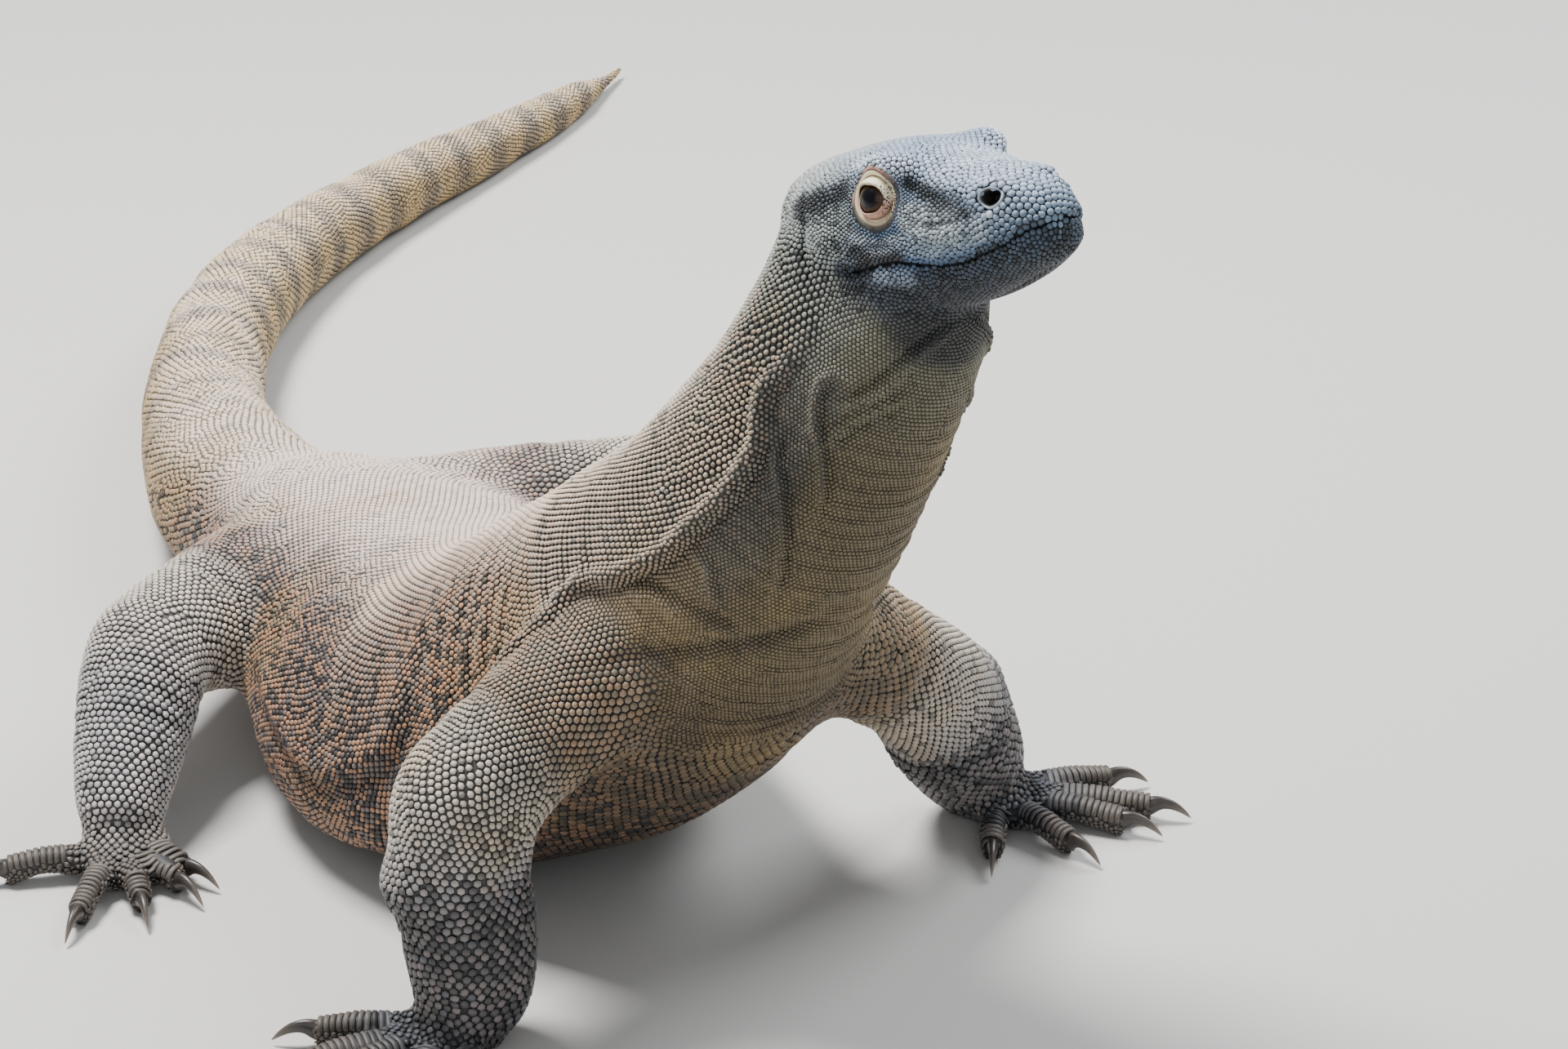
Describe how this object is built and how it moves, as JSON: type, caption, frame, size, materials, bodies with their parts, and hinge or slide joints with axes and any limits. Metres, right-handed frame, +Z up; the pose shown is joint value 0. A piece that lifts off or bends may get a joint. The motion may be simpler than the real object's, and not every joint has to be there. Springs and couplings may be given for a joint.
{
  "type": "komodo dragon, life-size still model",
  "caption": "Life-size Komodo dragon in a raised stance: belly and curved tail on the floor, forelegs braced, neck up and head turned level.",
  "frame": {"origin": "on the floor, midway between the hips, on the flat that the underside of the pelvis rests on", "axes": "+Z up; the trunk faces -Y; +X is the animal's left; the tail curves towards +X and +Y"},
  "size_m": [1.0476, 1.4584, 0.5253],
  "materials": {
    "body_skin": "dry beaded reptile scales, matt, tan and rust over dark grey",
    "head_skin": "smooth slate-blue scales with a soft sheen, cream round the eye",
    "leg_skin": "coarse grey-brown scales, paler across the toes",
    "claw": "dark horn, worn satin with paler tips",
    "eye": "wet dark brown eye with a round black pupil"
  },
  "bodies": {
    "root": {"pelvis": "body_skin", "abdomen": "body_skin", "chest": "body_skin", "neck": "body_skin", "tail_base": "body_skin", "tail_middle": "body_skin", "tail_end": "body_skin", "tail_tip": "body_skin", "head": "head_skin", "lower_jaw": "head_skin", "eye_left": "eye", "eye_right": "eye", "fore_left_upper": "leg_skin", "fore_left_lower": "leg_skin", "fore_left_foot": "leg_skin", "fore_left_claw_1": "claw", "fore_left_claw_2": "claw", "fore_left_claw_3": "claw", "fore_left_claw_4": "claw", "fore_left_claw_5": "claw", "fore_right_upper": "leg_skin", "fore_right_lower": "leg_skin", "fore_right_foot": "leg_skin", "fore_right_claw_1": "claw", "fore_right_claw_2": "claw", "fore_right_claw_3": "claw", "fore_right_claw_4": "claw", "fore_right_claw_5": "claw", "hind_left_upper": "leg_skin", "hind_left_lower": "leg_skin", "hind_left_foot": "leg_skin", "hind_left_claw_1": "claw", "hind_left_claw_2": "claw", "hind_left_claw_3": "claw", "hind_left_claw_4": "claw", "hind_left_claw_5": "claw", "hind_right_upper": "leg_skin", "hind_right_lower": "leg_skin", "hind_right_foot": "leg_skin", "hind_right_claw_1": "claw", "hind_right_claw_2": "claw", "hind_right_claw_3": "claw", "hind_right_claw_4": "claw", "hind_right_claw_5": "claw"}
  },
  "joints": []
}
